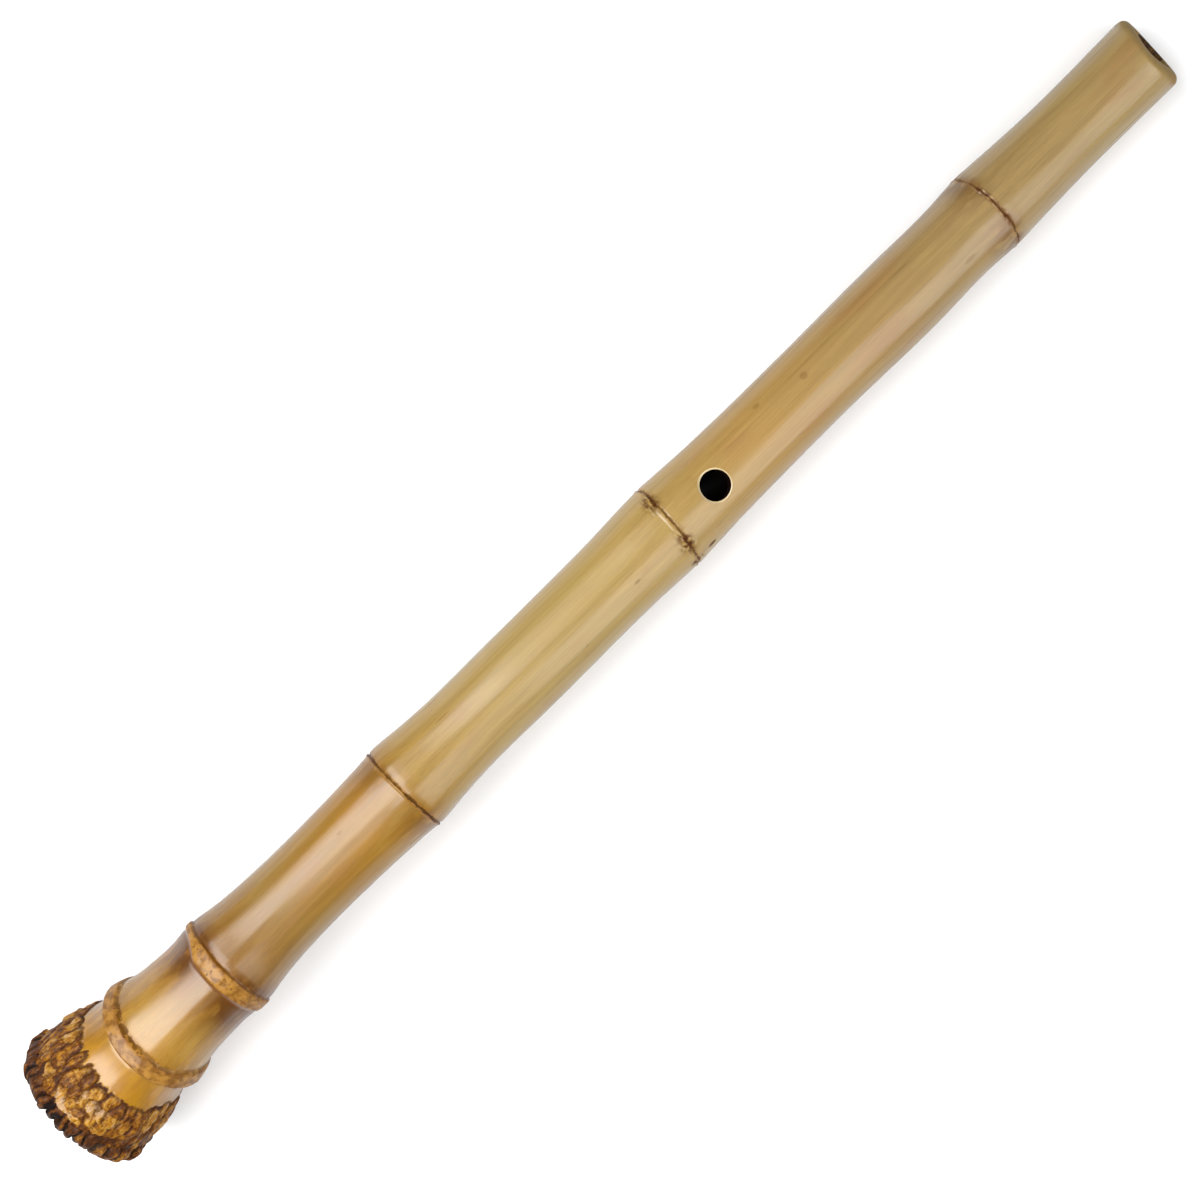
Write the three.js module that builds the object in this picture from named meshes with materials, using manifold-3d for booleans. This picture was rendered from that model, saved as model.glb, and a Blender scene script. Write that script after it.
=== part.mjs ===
// A one-piece root-end shakuhachi, lying on a table with its thumb hole up.
// It is made of three pieces: a bamboo culm dug up with its root end, a horn inlay that makes the
// blowing edge, and the lacquered filler that lines the bore. Lengths are millimetres, angles degrees.
// A station is a distance along the centreline, from the blowing edge towards the root end.
// In the flute's own frame +X points to the mouth, +Z is the back (thumb hole) and -Z is the front.
import * as THREE from "three";
import { mergeVertices } from "three/addons/utils/BufferGeometryUtils.js";
import Module from "manifold-3d";

const wasm = await Module();
wasm.setup();

// Culm, outside
const fluteLength = 545; // blowing edge to the root end's face, along the centreline
const mouthDiameter = 30.4;
const culmDiameter = 32; // at the thumb hole
const rootDiameter = 49.5; // under the root stubs
const rootFaceDiameter = 43; // the sawn face at the root end

// Culm diameters down to the last node, as shares of the culm's length and diameter. The culm swells
// slowly towards each node from the mouth side and falls away quickly past it.
const culmStationShares = [
  0.035, 0.1, 0.135, 0.17, 0.195, 0.25, 0.33, 0.42, 0.45, 0.467, 0.485, 0.51, 0.6,
  0.65, 0.675, 0.697, 0.715, 0.745, 0.805, 0.835, 0.852, 0.861, 0.874, 0.895, 0.907,
];
const culmDiameterShares = [
  0.935, 0.93, 0.965, 1.01, 0.965, 0.99, 0.962, 0.975, 1.03, 1.048, 1.03, 0.998, 0.988,
  0.978, 1.02, 1.085, 1.05, 1.01, 1, 1.06, 1.165, 1.235, 1.115, 1.15, 1.205,
];
// The root end, as shares of the length from the last node to the face, and of the root's diameter.
const rootStationShares = [0, 0.24, 0.34, 0.55, 0.78, 0.92];
const rootDiameterShares = [0.91, 0.825, 0.87, 0.975, 1, 0.96];

// Nodes: where each lies, and how wide the scar of its sheath is.
const nodeStationShares = [0.1776, 0.4651, 0.6989, 0.8585, 0.9165];
const scarWidthShares = [0.2, 0.28, 0.2, 1, 1.15];
const rootScarWidth = 6; // of the fourth node's scar, which the shares follow
const scarLip = 0.3; // how far a scar stands proud
const scarGroove = 0.4; // how deep the line beside it is
const scarGrooveWidth = 0.7;
const nodeSwell = 0.35; // the soft swelling on the mouth side of a scar
const nodeSwellReach = 4;

// Bend of the root end towards the front, and how far its rings lean out of square to the centreline
const bendStartShare = 0.852;
const bendLength = 58;
const bendAngle = 20;
const fourthNodeLean = -3;
const lastNodeLean = 9;
const rootRowLean = 9;
const rootFaceLean = -10;

// Bore, and the lacquered filler that lines it
const mouthBore = 20;
const throatBore = 16;
const rootBore = 18;
const throatShare = 0.74;
const liningWall = 1.2;
const liningStart = 19; // station of the lining's upper end
const fitGap = 0.3; // between pieces that touch

// Mouth
const rimSlant = 29;
const rimSlantReach = 55; // station where the slant has died away
const rimRounding = 3;
const edgeRounding = 0.5; // of the bore's rim and of the sawn face
const edgeLand = 0.4; // thickness left at the blowing edge
const edgeBevel = 25; // of the cut below the blowing edge, from the flute's axis

// Horn inlay
const inlayEdgeWidth = 13;
const inlayFootWidth = 8.5;
const inlayLength = 8; // down the bevel

// Tone holes
const thumbHoleShare = 0.4268;
const fingerHoleShares = [0.49, 0.585, 0.675, 0.787];
const thumbHoleDiameter = 11.2;
const fingerHoleDiameter = 10.4;
const holeChamfer = 0.7;

// Root stubs, in rings from the last node to the face: trimmed buds, rubbed-down roots, then the
// outer roots, which are sawn off with the face. Neighbours in a ring lie a stagger apart.
const rootRows = [
  { fromFace: 28.5, spacing: 5, width: 3.7, length: 3.6, height: 1.6, stagger: 0.8 },
  { fromFace: 19, spacing: 6.4, width: 4.7, length: 4.6, height: 1, stagger: 1.4 },
  { fromFace: 5, spacing: 6.2, width: 5.1, length: 9, height: 1.8, stagger: 0 },
];
const rootedDepth = 2; // how far a stub is rooted in the culm
const stubTipShare = 0.76; // of its foot's width
const stubVariation = 0.12; // how much smaller the smallest stub of a ring is

// How it lies
const restRoll = 5; // the thumb hole's turn from straight up

// Mesh
const culmSides = 32;
const liningSides = 24;
const holeSides = 20;
const stubSides = 8;
const culmRingPitch = 19;
const rootRingPitch = 7;
const roundingSteps = 3;
const cutOverrun = 6; // how far a cutter runs past what it cuts

const radians = THREE.MathUtils.degToRad;
const half = (size) => size / 2;

// A smooth curve through stations and values, as a function of the station.
function smoothThrough(stations, values) {
  const curve = new THREE.CubicInterpolant(stations, values, 1);
  return (station) => curve.evaluate(station)[0];
}

// Centreline: straight from the mouth, then bent to the front over the root end.
const bendStart = bendStartShare * fluteLength;
const bendRadius = bendLength / radians(bendAngle);

// The point on the centreline at a station, and the direction there towards the back.
function centreline(station) {
  const along = Math.min(Math.max(station - bendStart, 0), bendLength);
  const past = Math.max(station - bendStart - bendLength, 0);
  const turn = along / bendRadius;
  const x = Math.min(station, bendStart) + bendRadius * Math.sin(turn) + past * Math.cos(turn);
  const drop = bendRadius * (1 - Math.cos(turn)) + past * Math.sin(turn);
  return {
    point: new THREE.Vector3(-x, 0, -drop),
    toBack: new THREE.Vector3(-Math.sin(turn), 0, Math.cos(turn)),
  };
}

// How far a cross-section leans, as the tangent of its angle: its back lies nearer the root.
const slope = (angle) => Math.tan(radians(angle));
const rimCentre = (half(mouthBore) + edgeLand) * slope(rimSlant);
const lastNode = nodeStationShares.at(-1) * fluteLength;
const leanCurve = new THREE.LinearInterpolant(
  [
    rimCentre,
    rimSlantReach,
    nodeStationShares.at(-3) * fluteLength,
    nodeStationShares.at(-2) * fluteLength,
    lastNode,
    fluteLength - rootRows[0].fromFace,
    fluteLength,
  ],
  [rimSlant, 0, 0, fourthNodeLean, lastNodeLean, rootRowLean, rootFaceLean].map(slope),
  1,
);
const lean = (station) => leanCurve.evaluate(station)[0];

// Where a spot on the flute lies: its station before the lean, its offset to the side and to the back.
function placeOnFlute(station, side, back) {
  const at = centreline(station + back * lean(station));
  return at.point.addScaledVector(at.toBack, back).add(new THREE.Vector3(0, side, 0));
}

// Outside radius of the culm, without the rings at its nodes.
const rootStation = (share) => lastNode + share * (fluteLength - lastNode);
const culmRadius = smoothThrough(
  [
    rimCentre,
    ...culmStationShares.map((share) => share * fluteLength),
    ...rootStationShares.map(rootStation),
    fluteLength,
  ],
  [
    half(mouthDiameter),
    ...culmDiameterShares.map((share) => half(share * culmDiameter)),
    ...rootDiameterShares.map((share) => half(share * rootDiameter)),
    half(rootFaceDiameter),
  ],
);

const boreRadius = smoothThrough(
  [0, throatShare * fluteLength, fluteLength],
  [half(mouthBore), half(throatBore), half(rootBore)],
);

// Points of the culm's outline at a node: a soft swelling, a groove, then the scar's raised band,
// which ends in a groove of its own where it is wide.
function nodeRings(index) {
  const station = nodeStationShares[index] * fluteLength;
  const scar = scarWidthShares[index] * rootScarWidth;
  const upper = station - half(scar);
  const lower = station + half(scar);
  const rings = [
    [upper - scarGrooveWidth - nodeSwellReach, 0],
    [upper - scarGrooveWidth, nodeSwell],
    [upper - half(scarGrooveWidth), -scarGroove],
    [upper, scarLip],
  ];
  if (scar > 2 * scarGrooveWidth) rings.push([lower, scarLip], [lower + half(scarGrooveWidth), -scarGroove]);
  rings.push([lower + scarGrooveWidth, 0]);
  return rings.map(([at, rise]) => new THREE.Vector2(culmRadius(at) + rise, at));
}

// The culm's outside outline from the mouth to the root end, as radius and station.
function outerOutline() {
  const nodes = nodeStationShares.map((share, index) => nodeRings(index));
  const pitchAt = (station) => (station < bendStart ? culmRingPitch : rootRingPitch);
  const isFree = (station) =>
    nodes.every((rings) => {
      const margin = half(pitchAt(station));
      return station < rings[0].y - margin || station > rings.at(-1).y + margin;
    });
  const outline = nodes.flat();
  const lastRing = fluteLength - rimRounding;
  for (let station = rimCentre + rimRounding; station < lastRing; station += pitchAt(station)) {
    if (isFree(station)) outline.push(new THREE.Vector2(culmRadius(station), station));
  }
  return outline.sort((a, b) => a.y - b.y);
}

// A rounded corner between a flat end and a wall, as radius and station points.
function roundedCorner(radius, station, rounding, outward, inward) {
  const corner = [];
  for (let step = 0; step <= roundingSteps; step++) {
    const turn = (step / roundingSteps) * half(Math.PI);
    corner.push(
      new THREE.Vector2(
        radius - outward * rounding * (1 - Math.sin(turn)),
        station + inward * rounding * (1 - Math.cos(turn)),
      ),
    );
  }
  return corner;
}

// A revolved outline, carried onto the flute's leaning and bent cross-sections.
function revolveOnFlute(outline, sides) {
  const geometry = new THREE.LatheGeometry(outline, sides);
  const position = geometry.getAttribute("position");
  for (let i = 0; i < position.count; i++) {
    const spot = placeOnFlute(position.getY(i), position.getX(i), position.getZ(i));
    position.setXYZ(i, spot.x, spot.y, spot.z);
  }
  return geometry;
}

// Booleans are done on welded solids.
function solidOf(geometry) {
  const bare = new THREE.BufferGeometry();
  bare.setAttribute("position", geometry.getAttribute("position"));
  bare.setIndex(geometry.index);
  const welded = mergeVertices(bare);
  return new wasm.Manifold(
    new wasm.Mesh({
      numProp: 3,
      vertProperties: new Float32Array(welded.getAttribute("position").array),
      triVerts: new Uint32Array(welded.index.array),
    }),
  );
}

function geometryOf(solid) {
  const mesh = solid.getMesh();
  const geometry = new THREE.BufferGeometry();
  geometry.setAttribute("position", new THREE.BufferAttribute(mesh.vertProperties, mesh.numProp));
  geometry.setIndex(new THREE.BufferAttribute(mesh.triVerts, 1));
  geometry.computeVertexNormals();
  return geometry;
}

// Stations from the root end's face up to the lining's upper end, closer together in the bend. The
// lining and its seat share them, so their facets lie side by side.
function liningStations(upperEnd) {
  const stations = [];
  for (let station = fluteLength; station > upperEnd; ) {
    stations.push(station);
    station -= station > bendStart ? 2 * rootRingPitch : 2 * culmRingPitch;
  }
  stations.push(upperEnd);
  return stations;
}

// The culm as turned: its outline, its rounded mouth rim and its stepped bore.
function culmBlank() {
  const rimWall = half(mouthDiameter) - half(mouthBore);
  const outerRound = Math.min(rimRounding, half(rimWall));
  const innerRound = Math.min(edgeRounding, half(half(rimWall)));
  const seatRadius = (station) => boreRadius(station) + liningWall + fitGap;
  const mouthRadius = culmRadius(rimCentre + outerRound);
  const outline = [
    ...roundedCorner(mouthRadius, rimCentre, outerRound, 1, 1),
    ...outerOutline(),
    new THREE.Vector2(half(rootFaceDiameter) + edgeRounding, fluteLength - edgeRounding),
    new THREE.Vector2(half(rootFaceDiameter), fluteLength),
    ...liningStations(liningStart).map((station) => new THREE.Vector2(seatRadius(station), station)),
    new THREE.Vector2(boreRadius(liningStart), liningStart),
    ...roundedCorner(boreRadius(rimCentre), rimCentre, innerRound, -1, 1).reverse(),
  ];
  outline.push(outline[0].clone());
  return solidOf(revolveOnFlute(outline, culmSides));
}

// A root stub: a short tapered peg with a sawn tip, which stands on the root end and leans with it.
function rootStub(row, station, angle, size) {
  const radius = culmRadius(station);
  const foot = placeOnFlute(station, radius * Math.sin(angle), radius * Math.cos(angle));
  const heart = placeOnFlute(station, 0, 0);
  const ahead = placeOnFlute(station + row.length, radius * Math.sin(angle), radius * Math.cos(angle));
  const out = foot.clone().sub(heart).normalize();
  const across = out.clone().cross(ahead.sub(foot)).normalize();
  const along = across.clone().cross(out);

  const height = row.height * size;
  const profile = [
    new THREE.Vector2(0, -rootedDepth),
    new THREE.Vector2(0.5, -rootedDepth),
    new THREE.Vector2(0.5, 0),
    new THREE.Vector2(0.5 * stubTipShare, height),
    new THREE.Vector2(0, height),
  ];
  const peg = new THREE.LatheGeometry(profile, stubSides).rotateY(Math.PI / stubSides);
  const frame = new THREE.Matrix4().makeBasis(
    across.multiplyScalar(row.width * size),
    out,
    along.multiplyScalar(row.length * size),
  );
  return solidOf(peg.applyMatrix4(frame.setPosition(foot)));
}

// All root stubs. Each ring starts half a step from straight down, so two outer roots carry the flute.
function rootStubs() {
  const stubs = [];
  for (const row of rootRows) {
    const station = fluteLength - row.fromFace;
    const count = Math.round((2 * Math.PI * culmRadius(station)) / row.spacing);
    for (let i = 0; i < count; i++) {
      const angle = Math.PI - radians(restRoll) + ((i + 0.5) / count) * 2 * Math.PI;
      const isFoot = i === 0 || i === count - 1;
      const size = isFoot ? 1 : 1 - stubVariation * Math.sin(i * i) ** 2;
      const shift = half(i % 2 ? row.stagger : -row.stagger);
      stubs.push(rootStub(row, station + shift, angle, size));
    }
  }
  return stubs;
}

// A tone hole's cutter, from the bore's middle out through the back. Its flare follows the culm's curve.
function holeCutter(station, diameter, turn) {
  const outside = culmRadius(station);
  const radius = half(diameter);
  const profile = [
    new THREE.Vector2(0, 0),
    new THREE.Vector2(radius, 0),
    new THREE.Vector2(radius, outside - holeChamfer),
    new THREE.Vector2(radius + holeChamfer, outside),
    new THREE.Vector2(radius + holeChamfer, outside + cutOverrun),
    new THREE.Vector2(0, outside + cutOverrun),
  ];
  const cutter = new THREE.LatheGeometry(profile, holeSides).rotateX(half(Math.PI));
  const position = cutter.getAttribute("position");
  for (let i = 0; i < position.count; i++) {
    const side = position.getY(i);
    const sag = outside - Math.sqrt(outside ** 2 - side ** 2);
    if (position.getZ(i) > 0) position.setZ(i, position.getZ(i) - sag);
  }
  cutter.rotateX(turn).translate(-station, 0, 0);
  return solidOf(cutter);
}

function holeCutters() {
  const thumb = holeCutter(thumbHoleShare * fluteLength, thumbHoleDiameter, 0);
  const finger = (share) => holeCutter(share * fluteLength, fingerHoleDiameter, Math.PI);
  return [thumb, ...fingerHoleShares.map(finger)];
}

// Carries a shape drawn on the bevel below the blowing edge: +X down the bevel, +Y across, +Z into the wall.
function placeOnBevel(geometry) {
  const down = new THREE.Vector3(-Math.cos(radians(edgeBevel)), 0, -Math.sin(radians(edgeBevel)));
  const across = new THREE.Vector3(0, -1, 0);
  const inward = new THREE.Vector3().crossVectors(down, across);
  const frame = new THREE.Matrix4().makeBasis(down, across, inward);
  return geometry.applyMatrix4(frame.setPosition(0, 0, -half(mouthBore) - edgeLand));
}

function bevelCutter() {
  const size = 2 * mouthDiameter;
  const box = new THREE.BoxGeometry(size, size, cutOverrun + half(mouthDiameter));
  return solidOf(placeOnBevel(box.translate(0, 0, -half(cutOverrun + half(mouthDiameter)))));
}

// The inlay's wedge, widest at the blowing edge, grown on its sides and foot by a margin.
function inlayWedge(margin) {
  const depth = half(mouthBore);
  const edge = half(inlayEdgeWidth) + margin;
  const foot = half(inlayFootWidth) + margin;
  const taper = (edge - foot) / inlayLength;
  const outline = new THREE.Shape([
    new THREE.Vector2(-cutOverrun, edge + taper * cutOverrun),
    new THREE.Vector2(-cutOverrun, -edge - taper * cutOverrun),
    new THREE.Vector2(inlayLength + margin, -foot),
    new THREE.Vector2(inlayLength + margin, foot),
  ]);
  const wedge = new THREE.ExtrudeGeometry(outline, { depth: depth + cutOverrun, bevelEnabled: false });
  return solidOf(placeOnBevel(wedge.translate(0, 0, -cutOverrun)));
}

function makeCulmAndInlay() {
  let culm = culmBlank().subtract(bevelCutter());
  const inlay = culm.intersect(inlayWedge(0));
  culm = culm.subtract(inlayWedge(fitGap));
  for (const stub of rootStubs()) culm = culm.add(stub);
  for (const cutter of holeCutters()) culm = culm.subtract(cutter);
  return { culm, inlay };
}

function makeLining() {
  const stations = liningStations(liningStart + fitGap);
  const outline = [
    ...stations.map((station) => new THREE.Vector2(boreRadius(station), station)),
    ...stations.reverse().map((station) => new THREE.Vector2(boreRadius(station) + liningWall, station)),
  ];
  outline.push(outline[0].clone());
  let lining = solidOf(revolveOnFlute(outline, liningSides));
  for (const cutter of holeCutters()) lining = lining.subtract(cutter);
  return lining;
}

const bamboo = new THREE.MeshStandardMaterial({ color: 0xb5945a, roughness: 0.42, metalness: 0 });
const horn = new THREE.MeshStandardMaterial({ color: 0x14110f, roughness: 0.3, metalness: 0 });
const lacquer = new THREE.MeshStandardMaterial({ color: 0x1a0b08, roughness: 0.35, metalness: 0 });

function named(name, solid, material) {
  const mesh = new THREE.Mesh(geometryOf(solid), material);
  mesh.name = name;
  return mesh;
}

// The tilt about Y at which a rolled flute touches the table with both its mouth end and its root end.
function tiltToRest(points) {
  const middle = -half(fluteLength);
  let tilt = 0;
  for (let pass = 0; pass < 8; pass++) {
    const turned = (p) => new THREE.Vector2(
      p.x * Math.cos(tilt) + p.z * Math.sin(tilt),
      p.z * Math.cos(tilt) - p.x * Math.sin(tilt),
    );
    const lowest = { mouth: null, root: null };
    for (const point of points) {
      const end = point.x > middle ? "mouth" : "root";
      const spot = turned(point);
      if (!lowest[end] || spot.y < lowest[end].y) lowest[end] = spot;
    }
    tilt += (lowest.mouth.y - lowest.root.y) / (lowest.mouth.x - lowest.root.x);
  }
  return tilt;
}

function worldPoints(group) {
  group.updateMatrixWorld(true);
  const points = [];
  group.traverse((mesh) => {
    if (!mesh.isMesh) return;
    const position = mesh.geometry.getAttribute("position");
    for (let i = 0; i < position.count; i++) {
      points.push(new THREE.Vector3().fromBufferAttribute(position, i).applyMatrix4(mesh.matrixWorld));
    }
  });
  return points;
}

const { culm, inlay } = makeCulmAndInlay();
const flute = new THREE.Group();
flute.add(
  named("bamboo_culm", culm, bamboo),
  named("utaguchi_inlay", inlay, horn),
  named("bore_lining", makeLining(), lacquer),
);
flute.rotation.x = radians(restRoll);

// It lies on the table: the origin is under the middle of the flute, on the table.
const lying = new THREE.Group();
lying.rotation.y = tiltToRest(worldPoints(flute));
lying.add(flute);
const box = new THREE.Box3().setFromPoints(worldPoints(lying));
const middle = box.getCenter(new THREE.Vector3());
lying.position.set(-middle.x, -middle.y, -box.min.z);

export default lying;
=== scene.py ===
"""A one-piece root-end shakuhachi, lying on a pale table with its thumb hole up.

It is put together as the maker does it: the bamboo culm with its trimmed roots, the horn blowing edge and
the lacquered bore, and then the table, the camera and the light.

The flute's sizes are in millimetres. A station is a distance along its middle line, from the blowing edge to
the sawn root face. An angle is counted round that line from the back, where the thumb hole is.
"""

import math

import bpy
import numpy as np
from mathutils import Matrix, Vector


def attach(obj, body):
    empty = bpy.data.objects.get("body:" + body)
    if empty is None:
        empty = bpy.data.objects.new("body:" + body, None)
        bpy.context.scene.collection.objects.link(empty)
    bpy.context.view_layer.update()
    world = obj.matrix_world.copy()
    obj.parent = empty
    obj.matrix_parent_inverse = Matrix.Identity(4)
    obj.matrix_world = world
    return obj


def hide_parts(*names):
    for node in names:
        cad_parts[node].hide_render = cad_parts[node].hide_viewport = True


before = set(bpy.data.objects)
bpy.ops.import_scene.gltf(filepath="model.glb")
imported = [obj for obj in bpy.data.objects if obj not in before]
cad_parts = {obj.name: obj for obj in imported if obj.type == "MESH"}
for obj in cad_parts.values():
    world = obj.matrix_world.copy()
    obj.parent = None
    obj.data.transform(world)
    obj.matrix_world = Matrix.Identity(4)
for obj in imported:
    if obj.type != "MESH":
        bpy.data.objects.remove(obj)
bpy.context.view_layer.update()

# The bamboo culm: one stick of madake dug up with its root end. The sheath scars are smoothed, the roots are
# sawn short and rubbed down in rings, the mouth is cut on the slant, and five holes are bored and bevelled.
# It is lacquered thinly outside, so it shines softly.
mm = 0.001
flute_length = 545
node_stations = [share * flute_length for share in (0.1705, 0.4651, 0.703, 0.8585, 0.9165)]
last_node = node_stations[-1]
bend_start = 0.852 * flute_length  # from here on the root end bends to the front
bend_length = 58
bend_angle = math.radians(20)
rest_roll = math.radians(5)  # how far the thumb hole lies turned from straight up

# Cross-sections lean by these degrees: with the slanting mouth, hardly in the middle, and with the root end.
mouth_bore_radius = 10
edge_land = 0.4
rim_slant = 27
rim_slant_reach = 55
rim_centre = (mouth_bore_radius + edge_land) * math.tan(math.radians(rim_slant))
upper_roots = flute_length - 28.5
lean_stations = [rim_centre, rim_slant_reach, *node_stations[2:], upper_roots, flute_length]
leans = [rim_slant, 0, 0, -3, 9, 9, -10]


def middle_of_flute(station):
    """Points on the middle line, and the directions there towards the back."""
    radius = bend_length / bend_angle
    turn = np.clip(station - bend_start, 0, bend_length) / radius
    past = np.maximum(station - bend_start - bend_length, 0)
    run = np.minimum(station, bend_start) + radius * np.sin(turn) + past * np.cos(turn)
    drop = radius * (1 - np.cos(turn)) + past * np.sin(turn)
    nothing = np.zeros_like(run)
    return np.stack([-run, nothing, -drop], -1), np.stack([-np.sin(turn), nothing, np.cos(turn)], -1)


def place_on_flute(station, side, back):
    """Where spots lie in the flute's frame: +X to the mouth, +Z to the back, where the thumb hole is."""
    lean = np.interp(station, lean_stations, np.tan(np.radians(leans)))
    spot, to_back = middle_of_flute(station + back * lean)
    spot = spot + to_back * back[..., None]
    spot[..., 1] += side
    return spot


# How the flute lies follows from the frame's lacquered bore, which has a ring of points at each end.
lacquer_top = 19.3
end_slice = 10  # a bore's points that are this close to an end belong to its ring
bore_points = np.array([v.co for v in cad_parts["bore_lining"].data.vertices]) / mm
bore_points = np.unique(bore_points.round(4), axis=0)
upper_ring = bore_points[bore_points[:, 0] > bore_points[:, 0].max() - end_slice].mean(0)
lower_ring = bore_points[bore_points[:, 0] < bore_points[:, 0].min() + end_slice].mean(0)
bore_ends = middle_of_flute(np.array([lacquer_top, flute_length]))[0]
bore_run = Matrix.Rotation(rest_roll, 3, "X") @ Vector(bore_ends[0] - bore_ends[1])
lying_run = Vector(upper_ring - lower_ring)
rest_tilt = math.atan2(bore_run.z, bore_run.x) - math.atan2(lying_run.z, lying_run.x)
flute_turn = Matrix.Rotation(rest_tilt, 4, "Y") @ Matrix.Rotation(rest_roll, 4, "X")
blowing_edge = Vector(upper_ring) - flute_turn @ Vector(bore_ends[0])
flute_place = Matrix.Scale(mm, 4) @ Matrix.Translation(blowing_edge) @ flute_turn

# The culm swells towards each node and falls away past it. Below the last node it flares into the root end,
# whose stations are shares of what is left of the length.
mouth_diameter = 30.4
culm_diameter = 32
root_diameter = 49.5
root_face_diameter = 43
culm_station_shares = [
    0.035, 0.1, 0.135, 0.17, 0.195, 0.25, 0.33, 0.42, 0.45, 0.467, 0.485, 0.51, 0.6,
    0.65, 0.675, 0.697, 0.715, 0.745, 0.805, 0.835, 0.852, 0.861, 0.874, 0.895, 0.907,
]
culm_diameter_shares = [
    0.935, 0.93, 0.965, 1.01, 0.965, 0.99, 0.962, 0.975, 1.03, 1.048, 1.03, 0.998, 0.988,
    0.978, 1.02, 1.085, 1.05, 1.01, 1, 1.06, 1.145, 1.165, 1.12, 1.145, 1.185,
]
root_station_shares = [0, 0.24, 0.34, 0.55, 0.78, 0.92]
root_diameter_shares = [0.805, 0.825, 0.87, 0.975, 1, 0.96]


def smooth_through(stations, values):
    """A smooth curve through the values. Its slope at each is the mean of the slopes on both sides."""
    at, value = np.array(stations, float), np.array(values, float)
    slope = np.diff(value) / np.diff(at)
    slopes = np.concatenate([slope[:1], (slope[1:] + slope[:-1]) / 2, slope[-1:]])

    def curve(station):
        i = np.clip(np.searchsorted(at, station, side="right") - 1, 0, len(at) - 2)
        span = at[i + 1] - at[i]
        t = np.clip((station - at[i]) / span, 0, 1)
        start = (1 + 2 * t) * (1 - t) ** 2 * value[i] + t * (1 - t) ** 2 * span * slopes[i]
        return start + t * t * (3 - 2 * t) * value[i + 1] + t * t * (t - 1) * span * slopes[i + 1]

    return curve


culm_radius = smooth_through(
    [rim_centre]
    + [share * flute_length for share in culm_station_shares]
    + [last_node + share * (flute_length - last_node) for share in root_station_shares]
    + [flute_length],
    [mouth_diameter / 2]
    + [share * culm_diameter / 2 for share in culm_diameter_shares]
    + [share * root_diameter / 2 for share in root_diameter_shares]
    + [root_face_diameter / 2],
)
# The bore narrows towards the bend, and opens a little again towards the face.
bore_radius = smooth_through([0, 0.74 * flute_length, flute_length], [mouth_bore_radius, 8, 9])


def around(count):
    """That many angles, evenly spaced round the flute."""
    return np.arange(count) / count * 2 * math.pi


def wrapped(angle):
    """The same angle, between half a turn to the left and half a turn to the right."""
    return (angle + math.pi) % (2 * math.pi) - math.pi


def bump(distance, width):
    """A soft rise of height 1, about twice that wide."""
    return np.exp(-((distance / width) ** 2))


def ramp(value, low, high):
    """Rises smoothly from 0 at low to 1 at high."""
    t = np.clip((value - low) / (high - low), 0, 1)
    return t * t * (3 - 2 * t)


def waver(angle, seed, harmonics=11):
    """An irregular line round the culm, up to about 1 off its mean, which meets itself after a turn."""
    draw = np.random.default_rng(seed)
    line = np.zeros_like(angle)
    for k in range(1, harmonics + 1):
        line += np.sin(k * angle + draw.uniform(0, 2 * math.pi)) * draw.uniform(0.4, 1) / k**0.6
    return line / 1.8


def ripple(points, lengths, seed, waves=28):
    """Soft random relief from about -1 to 1, with ripples about that long in each direction."""
    draw = np.random.default_rng(seed)
    total = np.zeros(len(points))
    for _ in range(waves):
        way = draw.normal(size=3)
        way *= draw.uniform(0.6, 1.5) * 2 * math.pi / np.linalg.norm(way) / np.array(lengths, float)
        total += np.cos(points @ way + draw.uniform(0, 2 * math.pi))
    return total * math.sqrt(2 / waves) / 1.6


# The scars of the sheaths at the five nodes. Each runs from its upper line, before the node, to its lower
# one, after it. At the sides these lie higher or lower, and one scar is narrower on the left. The upper line
# slants and wanders, and has its depth, darkness and breaks. The scar stands proud of the skin, at its lower
# edge by its second number, and the skin round it is stained.
scars = [
    {"before": 0.55, "after": 0.55, "side": (0, 0), "slant": 0, "narrow": 0, "wander": 0.45,
     "depth": 0.45, "proud": (0.25, 0.2), "dark": 0.95, "broken": 0.45, "stain_and_side_shade": 0.75},
    {"before": 0.8, "after": 0.8, "side": (0, 0), "slant": 1.3, "narrow": 0, "wander": 0.4,
     "depth": 0.4, "proud": (0.25, 0.2), "dark": 0.8, "broken": 0.45, "stain_and_side_shade": 0},
    {"before": 0.55, "after": 0.55, "side": (0, 0), "slant": -0.4, "narrow": 0, "wander": 0.1,
     "depth": 0.45, "proud": (0.4, 0.4), "dark": 1, "broken": 0.25, "stain_and_side_shade": 0.6},
    {"before": 0.6, "after": 4.8, "side": (1.2, -1), "slant": 0, "narrow": 2.6, "wander": 0.35,
     "depth": 0.2, "proud": (0.6, 0.6), "dark": 0.4, "broken": 0.5, "stain_and_side_shade": 1.7},
    {"before": 1, "after": 4, "side": (0, 0.6), "slant": 0, "narrow": 0, "wander": 0.6,
     "depth": 0.25, "proud": (0.9, 2.1), "dark": 0.46, "broken": 0.95, "stain_and_side_shade": 0.2},
]
first_broad_scar = 3
# Where the lines of the first two nodes are torn: node, angle, width in radians, and reach along the culm
torn_places = [
    (1, 0.74, 0.22, 2.5), (1, -0.43, 0.26, 2.5), (1, -1.1, 0.1, 2.5), (1, 2.2, 0.3, 2.5),
    (1, -2.3, 0.25, 2.5), (0, 0.4, 0.28, 1), (0, -0.28, 0.22, 1.1), (0, -2.5, 0.3, 1),
]

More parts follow.
